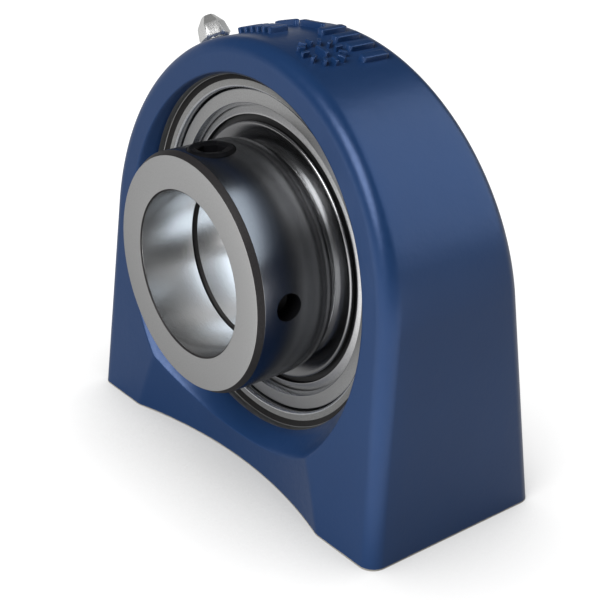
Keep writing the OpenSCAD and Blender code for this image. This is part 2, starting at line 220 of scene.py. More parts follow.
# The paint ends in an uneven line just above the machined base.
casting_paint, tree, surface, place = new_finish("casting_paint", (0.02, 0.06, 0.16), 0.32, 0.2)
surface.inputs["IOR"].default_value = 1.37
blue = mottled(tree, place, 0.022, (0.0136, 0.0475, 0.146), (0.0150, 0.052, 0.157))
bare_iron = (0.42, 0.40, 0.36, 1)
paint_start, paint_full, paint_wander = 0.00034, 0.00042, 0.00016
above = node(tree, "ShaderNodeSeparateXYZ", {0: place}).outputs["Z"]
edge = calculated(tree, "MULTIPLY_ADD", grain_of(tree, place, 260, 1), paint_wander, above)
bare = graded(tree, edge, cad_box[0][2] + paint_start, cad_box[0][2] + paint_full, 1, 0)
coat = node(tree, "ShaderNodeMix", {0: bare, 6: blue, 7: bare_iron}, data_type="RGBA")
tree.links.new(coat.outputs[2], surface.inputs["Base Color"])
rough_between(tree, surface, place, 0.0012, 0.29, 0.35)
sand_grain = grain_of(tree, place, 1150)
swell = calculated(tree, "MULTIPLY", grain_of(tree, place, 190), 3)
relief(tree, surface, 0.000018, sand_grain, swell)


def turned_steel(name, base, roughness, metallic=1.0, speckle=0.12, rings=1.0, depth=0.000002,
                 grain=0.00028, index=1.5):
    """Steel with the marks of its machining: fine speckle, and rings round the shaft axis."""
    finish, tree, surface, place = new_finish(name, base, roughness, metallic)
    surface.inputs["IOR"].default_value = index
    parts = node(tree, "ShaderNodeSeparateXYZ", {0: place}).outputs
    square = node(tree, "ShaderNodeCombineXYZ", {"X": parts["X"], "Z": parts["Z"]}).outputs[0]
    radius = node(tree, "ShaderNodeVectorMath", {0: square}, operation="LENGTH").outputs["Value"]
    angle = calculated(tree, "ARCTAN2", parts["X"], parts["Z"])
    around = calculated(tree, "MULTIPLY", angle, 0.0012)
    unrolled = node(tree, "ShaderNodeCombineXYZ", {"X": radius, "Y": parts["Y"], "Z": around}).outputs[0]
    cuts = calculated(tree, "MULTIPLY", grain_of(tree, unrolled, 1 / (grain * 0.8)), rings)
    dark = tuple(value * (1 - speckle) for value in base)
    light = tuple(min(1.0, value * (1 + speckle)) for value in base)
    tree.links.new(mottled(tree, place, grain, dark, light, 2.0), surface.inputs["Base Color"])
    rough_between(tree, surface, place, grain * 2, roughness * 0.96, roughness * 1.04)
    relief(tree, surface, depth, cuts, grain_of(tree, place, 1 / grain))
    return finish


seat_face_steel = turned_steel("seat_face", (0.34, 0.34, 0.335), 0.42)
seat_steel = turned_steel("seat_bore", (0.55, 0.56, 0.58), 0.22, rings=2.0)
# Near black and not metal: painted shade on machined chamfers and faces that lie in shade.
edge_painted_shade = turned_steel("edge_painted_shade", (0.022, 0.021, 0.021), 0.55, metallic=0.0, speckle=0.2, index=1.22)
base_iron = turned_steel("base_iron", (0.36, 0.35, 0.33), 0.38, rings=0.0, grain=0.0006)
housing_finishes = [casting_paint, seat_face_steel, edge_painted_shade, seat_steel, base_iron]
PAINTED, FACED, PAINTED_SHADE, BORED, BASE = range(len(housing_finishes))

# Sizes are in millimetres from the middle of the seat: x to the right, z up, w up the
# slanted face, and front as the distance in front of the middle.
shaft_height, foot_x, corner, foot_corner = 47.6, 48.1, 3.4, 3.42
base_front, lean = 22.5, math.atan(9.7 / 93.4)
arch_z, arch_reach = -3.2, 45.6
rim_front = base_front - corner / math.cos(lean) - (shaft_height + arch_z) * math.tan(lean)
foot_w = -(shaft_height + arch_z) / math.cos(lean)
flank_turn = math.atan2(foot_w, foot_x) + math.acos(arch_reach / math.hypot(foot_x, foot_w))
hollow_middle, hollow_r, hollow_blend = 136, 118.6, 0.22
crease_x, crease_turn = 34.8, math.atan2(-32.5, 28.93)
recess_r, recess_front, flare, recess_blend = 38.35, 12.9, 0.64, 0.45
seat_ball_r, mouth_r, mouth_front = 36.03, 35.15, 7.9
RIM_STEPS, SIDE_STEPS, FACE_STEPS, FLANK_STEPS, ARCH_STEPS = 9, 8, 22, 48, 180


def smaller(a, b, blend):
    """The smaller of two heights, with the crease between them rounded off."""
    near = max(blend - abs(a - b), 0.0) / blend
    return min(a, b) - near * near * blend / 4


def face_front(x, z):
    """How far in front of the middle the painted face lies, at a place seen from the front."""
    slanted = base_front - (z + shaft_height) * math.tan(lean)
    hollow = hollow_middle - math.sqrt(hollow_r ** 2 - x * x)
    return smaller(slanted, hollow, hollow_blend)


def spread_evenly(start, end, count):
    return [start + (end - start) * i / count for i in range(count)]


def foot_columns():
    """Columns that end on the base, closest at the crease: (x of the end, direction of the start)."""
    marks = spread_evenly(0, 33.6, 34) + spread_evenly(33.6, 36, 10)
    marks += spread_evenly(36, foot_x, 14) + [foot_x]
    foot_turn = math.atan2(-shaft_height, foot_x)
    half = []
    for x in marks:
        if x < crease_x:
            start = -math.pi / 2 + (crease_turn + math.pi / 2) * x / crease_x
        else:
            start = crease_turn + (foot_turn - crease_turn) * (x - crease_x) / (foot_x - crease_x)
        half.append((x, start))
    mirrored = [(-x, -math.pi - start) for x, start in half[:0:-1]]
    return mirrored + half


def rim_columns():
    """Columns that end on the rounded rim: (x, height along the slanted face, outward turn)."""
    top_x, top_w = arch_reach * math.cos(flank_turn), arch_reach * math.sin(flank_turn)
    right = [(foot_x, foot_w, None)]
    right += [(foot_x + (top_x - foot_x) * i / FLANK_STEPS, foot_w + (top_w - foot_w) * i / FLANK_STEPS,
               flank_turn) for i in range(FLANK_STEPS)]
    arch = []
    for i in range(ARCH_STEPS + 1):
        turn = flank_turn + (math.pi - 2 * flank_turn) * i / ARCH_STEPS
        arch.append((arch_reach * math.cos(turn), arch_reach * math.sin(turn), turn))
    left = [(-x, w, None if turn is None else math.pi - turn) for x, w, turn in reversed(right)]
    return right + arch + left


def painted_half(direction, end, rim):
    """Points of one painted side, from the cast recess out to the rim, as (x, front, z)."""
    ux, uz = math.cos(direction), math.sin(direction)
    meet = 41.0
    for _ in range(14):  # settles on the radius where the recess's flare meets the face
        meet = recess_r + flare * (face_front(meet * ux, meet * uz) - recess_front)
    points = [(recess_r * ux, recess_front, recess_r * uz)]
    for part in (0.3, 0.6, 0.85, 1.0):
        at = recess_r + (meet - recess_r) * part
        cone = recess_front + (at - recess_r) / flare
        front = smaller(cone, face_front(at * ux, at * uz), recess_blend)
        points.append((at * ux, max(recess_front, front), at * uz))
    ex, ez = end
    for i in range(FACE_STEPS + 1):
        part = (i / FACE_STEPS) ** 1.6 * 0.995 + 0.005  # closer together next to the recess
        x, z = meet * ux + (ex - meet * ux) * part, meet * uz + (ez - meet * uz) * part
        cone, front = recess_front + (math.hypot(x, z) - recess_r) / flare, face_front(x, z)
        points.append((x, smaller(cone, front, recess_blend) if part < 0.3 else front, z))
    return points + rim


def rim_half(x, w, turn):
    """The rounded edge between a slanted face and the outside, as (x, front, z)."""
    z = arch_z + w * math.cos(lean)
    front = rim_front - w * math.sin(lean)
    points = []
    for i in range(RIM_STEPS + 1):
        if turn is None:
            swing = math.pi / 2 * (1 - i / RIM_STEPS)
            points.append((x + math.copysign(corner * math.cos(swing), x),
                           front + foot_corner * math.sin(swing), -shaft_height))
            continue
        level = math.atan(math.sin(turn) * math.tan(lean))
        swing = math.pi / 2 + (level - math.pi / 2) * i / RIM_STEPS
        out, over = corner * math.cos(swing), corner * math.sin(swing)
        points.append((x + out * math.cos(turn),
                       front - out * math.sin(turn) * math.sin(lean) + over * math.cos(lean),
                       z + out * math.sin(turn) * math.cos(lean) + over * math.sin(lean)))
    return points


def on_ball(y):
    """The radius of the seat's ball, at a distance from its middle."""
    return math.sqrt(seat_ball_r ** 2 - y * y)


# The seat from front to rear, as (radius, front, finish of the strip in front of the point),
# with the groove that carries grease round it. The band on the chamfer at its mouth is painted shade.
seat_rim = [(38.2, 11.55, FACED), (38.08, 11.44, FACED), (36.95, 10.85, PAINTED_SHADE), (35.7, 10.85, FACED),
            (35.5, 10.8, BORED), (35.34, 10.68, BORED), (35.23, 10.48, BORED), (35.16, 10.2, BORED),
            (mouth_r, mouth_front, BORED)]
groove_r, groove_front, groove_rear = 37.3, 6.8, 1.0
seat_outline = seat_rim + [(on_ball(groove_front), groove_front, BORED), (groove_r, groove_front, BORED),
                           (groove_r, groove_rear, BORED), (on_ball(groove_rear), groove_rear, BORED)]
seat_outline += [(on_ball(y), y, BORED) for y in (0, -1.5, -3, -4.5, -6, -7.2)]
seat_outline += [(mouth_r, -mouth_front, BORED)]
seat_outline += [(seat_rim[i - 1][0], -seat_rim[i - 1][1], seat_rim[i][2])
                 for i in range(len(seat_rim) - 1, 0, -1)]

columns = []
for x, direction in foot_columns():
    flat = [(x, face_front(x, -shaft_height), -shaft_height)] * (RIM_STEPS + 1)
    columns.append((direction, painted_half(direction, (x, -shaft_height), flat)))
for x, w, turn in rim_columns():
    rim = rim_half(x, w, turn)
    direction = math.atan2(arch_z + w * math.cos(lean), x)
    columns.append((direction, painted_half(direction, (rim[0][0], rim[0][2]), rim)))

# Each column makes one closed loop: the front, the outside, the rear, and back through the seat.
casting = bmesh.new()
loops = []
for direction, half in columns:
    ux, uz = math.cos(direction), math.sin(direction)
    x, front, z = half[-1]
    loop = [(px, -py, pz) for px, py, pz in half]
    loop += [(x, -front + 2 * front * i / SIDE_STEPS, z) for i in range(1, SIDE_STEPS)]
    loop += [(px, py, pz) for px, py, pz in reversed(half)]
    loop += [(r * ux, -y, r * uz) for r, y, _ in reversed(seat_outline)]
    loops.append([casting.verts.new(Vector(point) * MM) for point in loop])
half_count = len(columns[0][1])
painted_count = 2 * half_count + SIDE_STEPS - 1
strips = [PAINTED] * painted_count + [finish for _, _, finish in reversed(seat_outline)]
strips[painted_count - 1] = FACED
# The columns that end on the feet cross the bare base there.
base_strips = range(half_count - 2, painted_count - half_count + 1)
foot_count, size = len(foot_columns()), len(loops[0])
for i, loop in enumerate(loops):
    after = loops[(i + 1) % len(loops)]
    for k in range(size):
        n = (k + 1) % size
        face = casting.faces.new((loop[k], loop[n], after[n], after[k]))
        face.material_index = BASE if i < foot_count and k in base_strips else strips[k]
bmesh.ops.remove_doubles(casting, verts=casting.verts, dist=0.0000015)
bmesh.ops.dissolve_degenerate(casting, edges=casting.edges, dist=0.000001)
bmesh.ops.recalc_face_normals(casting, faces=casting.faces)


CREASE = 32.0


def make_piece(name, mesh, finishes, crease=CREASE):
    """A new object from a bmesh: smooth faces, with edges sharper than the crease kept."""
    mesh.normal_update()
    for face in mesh.faces:
        face.smooth = True
    for edge in mesh.edges:
        edge.smooth = len(edge.link_faces) == 2 and edge.calc_face_angle(0.0) < math.radians(crease)
    data = bpy.data.meshes.new(name)
    mesh.to_mesh(data)
    mesh.free()
    made = bpy.data.objects.new(name, data)
    bpy.context.scene.collection.objects.link(made)
    for finish in finishes:
        data.materials.append(finish)
    return made


def round_cutter(name, outline, finish, placing, sides=64):
    """A turned cutter: outline of (radius, height) up its own Z axis, then placed."""
    mesh = bmesh.new()
    rings = []
    for radius, rise in outline:
        if radius == 0:
            rings.append([mesh.verts.new((0, 0, rise * MM))] * sides)
        else:
            rings.append([mesh.verts.new((radius * MM * math.cos(2 * math.pi * i / sides),
                                          radius * MM * math.sin(2 * math.pi * i / sides), rise * MM))
                          for i in range(sides)])
    for low, high in zip(rings, rings[1:]):
        for i in range(sides):
            corners = [low[i], low[(i + 1) % sides], high[(i + 1) % sides], high[i]]
            corners = [v for k, v in enumerate(corners) if v not in corners[:k]]
            mesh.faces.new(corners)
    for ring in (rings[0], rings[-1]):
        if len(set(ring)) > 1:
            mesh.faces.new(ring)
    bmesh.ops.recalc_face_normals(mesh, faces=mesh.faces)
    mesh.transform(placing)
    return make_piece(name, mesh, [finish])


def cut(piece, *cutters):
    """Takes the cutters out of the piece for good, and keeps each cutter's finish in the cut."""
    for cutter in cutters:
        step = piece.modifiers.new("cut", "BOOLEAN")
        step.operation, step.solver, step.material_mode = "DIFFERENCE", "EXACT", "TRANSFER"
        step.object = cutter
    shaped = bpy.data.meshes.new_from_object(piece.evaluated_get(bpy.context.evaluated_depsgraph_get()))
    piece.modifiers.clear()
    old, piece.data = piece.data, shaped
    bpy.data.meshes.remove(old)
    for cutter in cutters:
        bpy.data.objects.remove(cutter)
    mesh = bmesh.new()
    mesh.from_mesh(shaped)
    mesh.normal_update()
    for edge in mesh.edges:
        if len(edge.link_faces) == 2 and edge.calc_face_angle(0.0) > math.radians(CREASE):
            edge.smooth = False
    mesh.to_mesh(shaped)
    mesh.free()


def outward(angle, front):
    """Straight out from the shaft axis, leaning by an angle from the top towards -X."""
    return Matrix.Translation((0, -front * MM, 0)) @ Matrix.Rotation(-math.radians(angle), 4, "Y")


# The seat's rear half is slotted at both sides, so that the insert goes in edge on.
housing = make_piece("cast_housing", casting, housing_finishes)
slots = bmesh.new()
half_slot, slot_inner, slot_depth = 9.7, 20, 24
rows = [(on_ball(z), z) for z in [half_slot * (i / 12 - 1) for i in range(25)]]
for side in (-1, 1):
    ring = [(side * x, z) for x, z in rows]
    ring += [(side * slot_inner, half_slot), (side * slot_inner, -half_slot)]
    near = [slots.verts.new((x * MM, 0, z * MM)) for x, z in ring]
    far = [slots.verts.new((x * MM, slot_depth * MM, z * MM)) for x, z in ring]
    slots.faces.new(near)
    slots.faces.new(far)
    for i in range(len(ring)):
        n = (i + 1) % len(ring)
        slots.faces.new((near[i], near[n], far[n], far[i]))
bmesh.ops.recalc_face_normals(slots, faces=slots.faces)
slot_cutter = make_piece("slot_cutter", slots, [seat_face_steel])
nipple_angle = 35
up_the_nipple = outward(nipple_angle, 2)
nipple_drill = round_cutter("nipple_drill", [(1.5, 34), (1.5, 39.8), (3, 39.8), (3, 52)], seat_face_steel,
                            up_the_nipple)
bolt_x, below_base = 41.3, 0.00001
base_drills = [round_cutter(f"base_drill_{side}", [(4.66, -0.02), (4.25, 0.4), (4.25, 20), (0, 22.55)],
                            seat_face_steel,
                            Matrix.Translation((side * bolt_x * MM, 0, -shaft_height * MM - below_base)))
               for side in (-1, 1)]
cut(housing, slot_cutter, nipple_drill, *base_drills)
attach(housing, "housing")
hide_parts("housing")


# Foundry marks. Plain raised marks on the crown of the casting: a dial of ticks with a
# pointer, of the kind that shows when a mould was poured, and two rows of counting bars.
pad = bmesh.new()
bmesh.ops.create_cube(pad, size=1)
pad.transform(Matrix.Diagonal((1, 1, 2, 1)))
bmesh.ops.bevel(pad, geom=[edge for edge in pad.edges if all(v.co.z > 0 for v in edge.verts) or
                           edge.verts[0].co.z * edge.verts[1].co.z < 0],
                offset=0.16, segments=3, profile=0.5, affect="EDGES")
pad_piece = make_piece("mark_pad", pad, [casting_paint], 75)


def group_with_inputs(name, *named_inputs):
    """A new geometry tree, with the sockets of its named inputs and its output node."""
    group = bpy.data.node_groups.new(name, "GeometryNodeTree")
    group.interface.new_socket("Geometry", in_out="OUTPUT", socket_type="NodeSocketGeometry")
    for label, kind in named_inputs:
        group.interface.new_socket(label, in_out="INPUT", socket_type=kind)
    return group, group.nodes.new("NodeGroupInput").outputs, group.nodes.new("NodeGroupOutput")


def grown(name, group, values, body):
    """Runs a geometry tree on an empty mesh, keeps its result as a plain piece, and rides it."""
    piece = bpy.data.objects.new(name, bpy.data.meshes.new(name))
    bpy.context.scene.collection.objects.link(piece)
    step = piece.modifiers.new("grow", "NODES")
    step.node_group = group
    for item in group.interface.items_tree:
        if item.in_out == "INPUT" and item.name in values:
            step[item.identifier] = values[item.name]
    shaped = bpy.data.meshes.new_from_object(piece.evaluated_get(bpy.context.evaluated_depsgraph_get()))
    piece.modifiers.clear()
    piece.data = shaped
    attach(piece, body)
    return piece


# The tree lays pads flat, on a dial or along a row, then wraps them on the round crown.
marks, given, result = group_with_inputs(
    "foundry_marks", ("Pad", "NodeSocketObject"), ("Count", "NodeSocketInt"),
    ("Dial Radius", "NodeSocketFloat"), ("Row Pitch", "NodeSocketFloat"), ("Place", "NodeSocketVector"),
    ("Pad Size", "NodeSocketVector"), ("Crown Radius", "NodeSocketFloat"),
    ("Crown Height", "NodeSocketFloat"), ("Finish", "NodeSocketMaterial"))
dial = node(marks, "GeometryNodeMeshCircle", {"Vertices": given["Count"], "Radius": given["Dial Radius"]})
pitch = node(marks, "ShaderNodeCombineXYZ", {"X": given["Row Pitch"]})
row = node(marks, "GeometryNodeMeshLine", {"Count": given["Count"], "Offset": pitch.outputs[0]})
on_dial = node(marks, "FunctionNodeCompare", {0: given["Dial Radius"], 1: 0.00001}, operation="GREATER_THAN")
spots = node(marks, "GeometryNodeSwitch", {"Switch": on_dial.outputs[0], "False": row.outputs[0],
                                           "True": dial.outputs[0]}, input_type="GEOMETRY")
spot = node(marks, "GeometryNodeInputPosition")
toward = node(marks, "FunctionNodeAlignRotationToVector", {"Vector": spot.outputs[0]}, axis="X")
facing = node(marks, "GeometryNodeSwitch", {"Switch": on_dial.outputs[0], "True": toward.outputs[0]},
              input_type="ROTATION")
pad_info = node(marks, "GeometryNodeObjectInfo", {"Object": given["Pad"]})
laid = node(marks, "GeometryNodeInstanceOnPoints", {
    "Points": spots.outputs[0], "Instance": pad_info.outputs["Geometry"], "Rotation": facing.outputs[0],
    "Scale": given["Pad Size"]})
real = node(marks, "GeometryNodeRealizeInstances", {0: laid.outputs[0]})
moved = node(marks, "ShaderNodeVectorMath", {0: node(marks, "GeometryNodeInputPosition").outputs[0],
                                             1: given["Place"]}, operation="ADD")
parts = node(marks, "ShaderNodeSeparateXYZ", {0: moved.outputs[0]}).outputs
swing = calculated(marks, "DIVIDE", parts["X"], given["Crown Radius"])
reach = calculated(marks, "ADD", parts["Z"], given["Crown Radius"])
across = calculated(marks, "MULTIPLY", calculated(marks, "SINE", swing), reach)
rise = calculated(marks, "MULTIPLY_ADD", calculated(marks, "COSINE", swing), reach, given["Crown Height"])
wrapped = node(marks, "ShaderNodeCombineXYZ", {"X": across, "Y": parts["Y"], "Z": rise})
bent = node(marks, "GeometryNodeSetPosition", {"Geometry": real.outputs[0], "Position": wrapped.outputs[0]})
finished = node(marks, "GeometryNodeSetMaterial", {"Geometry": bent.outputs[0], "Material": given["Finish"]})
marks.links.new(finished.outputs[0], result.inputs[0])

crown_r, crown_z, mark_height = 48.88, -3.28, 1.2
for name, count, dial_r, row_pitch, (x, y), (width, length) in (
        ("mark_dial_ticks", 12, 4.1, 0, (12.0, -4.0), (1.7, 0.75)),
        ("mark_dial_pointer", 1, 0, 0, (12.0, -4.0), (3.4, 0.9)),
        ("mark_tally", 6, 0, 2.1, (-14.0, -3.0), (1.0, 4.6)),
        ("mark_bars", 4, 0, 4.4, (3.6, 5.3), (1.9, 6.4)),
        ("mark_dashes", 2, 0, 8.6, (-11.4, 5.3), (7.4, 1.3))):
    grown(name, marks, {
        "Pad": pad_piece, "Count": count, "Dial Radius": dial_r * MM, "Row Pitch": row_pitch * MM,
        "Place": (x * MM, y * MM, 0.0), "Pad Size": (width * MM, length * MM, mark_height * MM),
        "Crown Radius": crown_r * MM, "Crown Height": crown_z * MM, "Finish": casting_paint},
        "housing")
bpy.data.objects.remove(pad_piece)


# Tapped holes in the base. Two M10 threads, cut from below, that take the screws of the
# frame that carries the block.
threads, given, result = group_with_inputs(
    "screw_thread", ("Radius", "NodeSocketFloat"), ("Pitch", "NodeSocketFloat"), ("Turns", "NodeSocketFloat"),
    ("Steps", "NodeSocketInt"), ("Ridge", "NodeSocketFloat"), ("Finish", "NodeSocketMaterial"))
rise = calculated(threads, "MULTIPLY", given["Pitch"], given["Turns"])
helix = node(threads, "GeometryNodeCurveSpiral", {
    "Resolution": given["Steps"], "Rotations": given["Turns"], "Start Radius": given["Radius"],
    "End Radius": given["Radius"], "Height": rise})
upright = node(threads, "GeometryNodeSetCurveNormal", {0: helix.outputs[0]}, mode="Z_UP")
flanks = node(threads, "GeometryNodeCurvePrimitiveCircle", {"Resolution": 4, "Radius": given["Ridge"]})
swept = node(threads, "GeometryNodeCurveToMesh", {
    "Curve": upright.outputs[0], "Profile Curve": flanks.outputs[0], "Fill Caps": True})
real = node(threads, "GeometryNodeRealizeInstances", {0: swept.outputs[0]})
finished = node(threads, "GeometryNodeSetMaterial", {0: real.outputs[0], "Material": given["Finish"]})
threads.links.new(finished.outputs[0], result.inputs[0])


def thread(name, radius, pitch, turns, finish, placing, body):
    """A thread's ridge on a hole or shank of the given radius, from its own origin up Z."""
    piece = grown(name, threads, {
        "Radius": radius * MM, "Pitch": pitch * MM, "Turns": float(turns), "Steps": 40,
        "Ridge": pitch * 0.46 * MM, "Finish": finish}, body)
    piece.data.transform(placing)


for side, name in ((-1, "left"), (1, "right")):
    thread(f"base_thread_{name}", 5.0, 1.5, 12, seat_face_steel,
           Matrix.Translation((side * bolt_x * MM, 0, (1 - shaft_height) * MM)), "housing")


# Outer ring. Hardened bearing steel, ground to a ball outside so that it can swivel in the
# housing, with a deep ball race inside and a groove for the seal at each side.
def softened(outline):
    """Rounds the corners of (radius, front, finish, softness), and gives (radius, front, finish)."""
    points = []
    for i, (radius, front, finish, soft) in enumerate(outline):
        if not soft:
            points.append((radius, front, finish))
            continue
        here = Vector((radius, front))
        before, after = Vector(outline[i - 1][:2]), Vector(outline[(i + 1) % len(outline)][:2])
        start = here + (before - here).normalized() * min(soft, (before - here).length * 0.49)
        end = here + (after - here).normalized() * min(soft, (after - here).length * 0.49)
        for k in range(6):
            t = k / 5
            spot = start * (1 - t) ** 2 + here * 2 * t * (1 - t) + end * t * t
            points.append((spot.x, spot.y, outline[i - 1][2] if k < 2 else finish))
    return points


def turned(name, outline, finishes, side=1, sides=288, cam=(0, 0, 0)):
    """A ring turned round the shaft axis; cam gives (start, end, lift) of its eccentric part."""
    mesh = bmesh.new()
    points = softened(outline)
    strips = [finishes.index(finish) for _, _, finish in points]
    start, end, cam_lift = cam
    cam_inside, cam_outside = 18.4, 22.5
    rings = []
    for i in range(sides):
        angle = 2 * math.pi * i / sides
        ring = []
        for radius, front, _ in points:
            lift = cam_lift if start <= front <= end and cam_inside < radius < cam_outside else 0
            ring.append(mesh.verts.new(Vector((radius * math.cos(angle), -front * side,
                                               radius * math.sin(angle) + lift)) * MM))
        rings.append(ring)
    for i, ring in enumerate(rings):
        after = rings[(i + 1) % sides]
        for k in range(len(points)):
            n = (k + 1) % len(points)
            mesh.faces.new((ring[k], ring[n], after[n], after[k])).material_index = strips[k]
    bmesh.ops.recalc_face_normals(mesh, faces=mesh.faces)
    return make_piece(name, mesh, finishes)


def race(middle, start, end):
    """Points of a ball race about a radius, between two angles in degrees."""
    turns = [math.radians(start + (end - start) * i / RACE_STEPS) for i in range(RACE_STEPS + 1)]
    return [(middle + race_r * math.cos(a), race_r * math.sin(a), raceway, 0) for a in turns]


def race_edge(middle, shoulder):
    """The angle in degrees at which a race comes out at the ring's shoulder."""
    return math.degrees(math.acos((shoulder - middle) / race_r))


race_r, outer_race, outer_shoulder, ring_ball_r, ball_front = 5.7, 26.62, 30.35, 36, 9.2
RACE_STEPS, BALL_STEPS = 24, 24
ring_face = turned_steel("ring_face", (0.38, 0.38, 0.38), 0.45)
ring_ground = turned_steel("ring_ground", (0.46, 0.47, 0.48), 0.25, rings=1.6)
raceway = turned_steel("raceway", (0.60, 0.60, 0.61), 0.12, speckle=0.04, rings=2.5, depth=0.000001)
fronts = [-ball_front + 2 * ball_front * i / BALL_STEPS for i in range(BALL_STEPS + 1)]
outer = [(math.sqrt(ring_ball_r ** 2 - front * front), front, ring_ground, 0) for front in fronts]
outer += [(34.73, 9.5, ring_face, 0.28), (31.9, 9.5, ring_ground, 0.12), (31.2, 8.1, ring_ground, 0),
          (31.6, 7.85, ring_ground, 0), (31.6, 7.15, ring_ground, 0),
          (outer_shoulder, 7.15, ring_ground, 0.1)]
edge = race_edge(outer_race, outer_shoulder)
outer += race(outer_race, edge, -edge)
outer += [(outer_shoulder, -7.15, ring_ground, 0.1), (31.6, -7.15, ring_ground, 0),
          (31.6, -7.85, ring_ground, 0), (31.2, -8.1, ring_ground, 0), (31.9, -9.5, ring_face, 0.12),
          (34.73, -9.5, ring_ground, 0.28)]
outer_ring = turned("ball_bearing_outer_ring", outer, [ring_face, ring_ground, raceway])
cut(outer_ring, *[round_cutter(f"grease_drill_{angle}", [(0.75, 28.4), (0.75, 37.4)], ring_ground,
                               outward(angle, 5.9), 24) for angle in (nipple_angle, 155)])
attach(outer_ring, "outer_ring")
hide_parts("outer_ring")


# Inner ring. Hardened bearing steel with a bright ground bore for the shaft. In front it
# carries the eccentric that the locking collar grips.
bore_steel = turned_steel("shaft_bore", (0.66, 0.66, 0.66), 0.24, speckle=0.02, rings=3.0, depth=0.0000004)
bore_r, inner_race, inner_shoulder, cam_lift = 17.5, 26.88, 23.05, 0.8
# The chamfer and the end face in front, in the gap under the collar, are painted shade.
inner = [(bore_r, -8.65, bore_steel, 0), (bore_r, 15.05, edge_painted_shade, 0.05), (18.35, 15.9, edge_painted_shade, 0.1),
         (21.2, 15.9, ring_ground, 0.5), (21.2, 9.3, ring_ground, 0), (22.6, 9.3, ring_ground, 0),
         (inner_shoulder, 8.9, ring_ground, 0)]
edge = race_edge(inner_race, inner_shoulder)
inner += race(inner_race, edge, 360 - edge)
inner += [(inner_shoulder, -9.0, ring_ground, 0.1), (22.55, -9.5, ring_face, 0.1),
          (18.35, -9.5, ring_ground, 0.1)]
inner_ring = turned("ball_bearing_inner_ring", inner,
                    [bore_steel, ring_ground, raceway, ring_face, edge_painted_shade], cam=(9.25, 16, cam_lift))
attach(inner_ring, "inner_ring")
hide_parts("inner_ring")


# Balls and cage. Nine lapped steel balls, in a cage of glass-filled polyamide that is moulded
# in one piece and snaps over them from behind.
ball_steel, tree, surface, place = new_finish("ball_steel", (0.66, 0.66, 0.67), 0.06, 1)
lapped = mottled(tree, place, 0.004, (0.63, 0.63, 0.64), (0.69, 0.69, 0.70))
tree.links.new(lapped, surface.inputs["Base Color"])
relief(tree, surface, 0.0000005, grain_of(tree, place, 2600))
polyamide, tree, surface, place = new_finish("cage_polyamide", (0.62, 0.55, 0.40), 0.42, 0)
flow = mottled(tree, place, 0.0012, (0.58, 0.51, 0.36), (0.66, 0.60, 0.45), 4.0)
tree.links.new(flow, surface.inputs["Base Color"])
relief(tree, surface, 0.000012, grain_of(tree, place, 1500, 3.0))


def refinish(name, finish):
    """Gives a solid that is kept from the CAD its own finish."""
    cad_nodes[name].data.materials.clear()
    cad_nodes[name].data.materials.append(finish)


for number in range(1, 10):
    refinish(f"ball_{number}", ball_steel)
refinish("cage", polyamide)


# Seals. At each side a sheet-steel plate is snapped into the outer ring, and a nitrile rubber
# lip moulded on its edge rubs on the inner ring.
plate_steel = turned_steel("seal_plate", (0.48, 0.48, 0.485), 0.40, speckle=0.1)
rubber, tree, surface, place = new_finish("seal_rubber", (0.012, 0.012, 0.013), 0.55, 0)
bloom = mottled(tree, place, 0.0008, (0.010, 0.010, 0.011), (0.017, 0.017, 0.018))
tree.links.new(bloom, surface.inputs["Base Color"])
relief(tree, surface, 0.00001, grain_of(tree, place, 2200))
plate = [(24.4, 6.95, plate_steel, 0.1), (29.7, 6.95, plate_steel, 0.3), (29.7, 7.9, plate_steel, 0.2),
         (31.15, 7.35, plate_steel, 0.2), (31.55, 7.35, plate_steel, 0.05), (31.55, 7.7, plate_steel, 0.05),
         (31.15, 7.75, plate_steel, 0.3), (29.6, 8.42, plate_steel, 0.3), (29.3, 8.45, rubber, 0.15),
         (29.3, 7.35, rubber, 0.2), (24.4, 7.35, plate_steel, 0.1)]
lip = [(radius, front, rubber, soft) for radius, front, soft in (
    (23.09, 6.6, 0.05), (23.24, 6.5, 0.05), (24.4, 6.85, 0.2), (25.6, 6.65, 0.1), (25.6, 6.94, 0.05),
    (24.39, 6.94, 0), (24.39, 7.36, 0.05), (24.05, 7.36, 0.1), (23.19, 6.85, 0.2))]
for side, name in ((1, "front"), (-1, "rear")):
    for part, outline, finishes, slot_name in (("seal_plate", plate, [plate_steel, rubber], "sheet_steel"),
                                               ("seal_lip", lip, [rubber], "seal_rubber")):
        piece = turned(f"turned_{name}_{part}", outline, finishes, side, 224)
        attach(piece, "outer_ring")
        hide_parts(f"{name}_{part}")


# Flingers. A dished washer of bright sheet steel is pressed on the inner ring at each side,
# and its rolled rim throws off water and grit as it turns.
flinger_steel = turned_steel("flinger", (0.25, 0.25, 0.255), 0.26, speckle=0.02, rings=1.6, depth=0.0000001)
dish = [(radius, front, flinger_steel, soft) for radius, front, soft in (
    (inner_shoulder, 7.45, 0), (23.6, 7.45, 0.4), (27.1, 8.5, 0.5), (27.5, 8.25, 0.2), (27.5, 8.05, 0.1),
    (28, 8.05, 0.1), (28, 8.7, 0.3), (27.6, 8.99, 0.25), (27.05, 8.9, 0.3), (23.6, 7.95, 0.4),
    (inner_shoulder, 7.95, 0))]
for side, name in ((1, "front"), (-1, "rear")):
    piece = turned(f"turned_{name}_flinger", dish, [flinger_steel], side)
    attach(piece, "inner_ring")
    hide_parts(f"{name}_flinger")


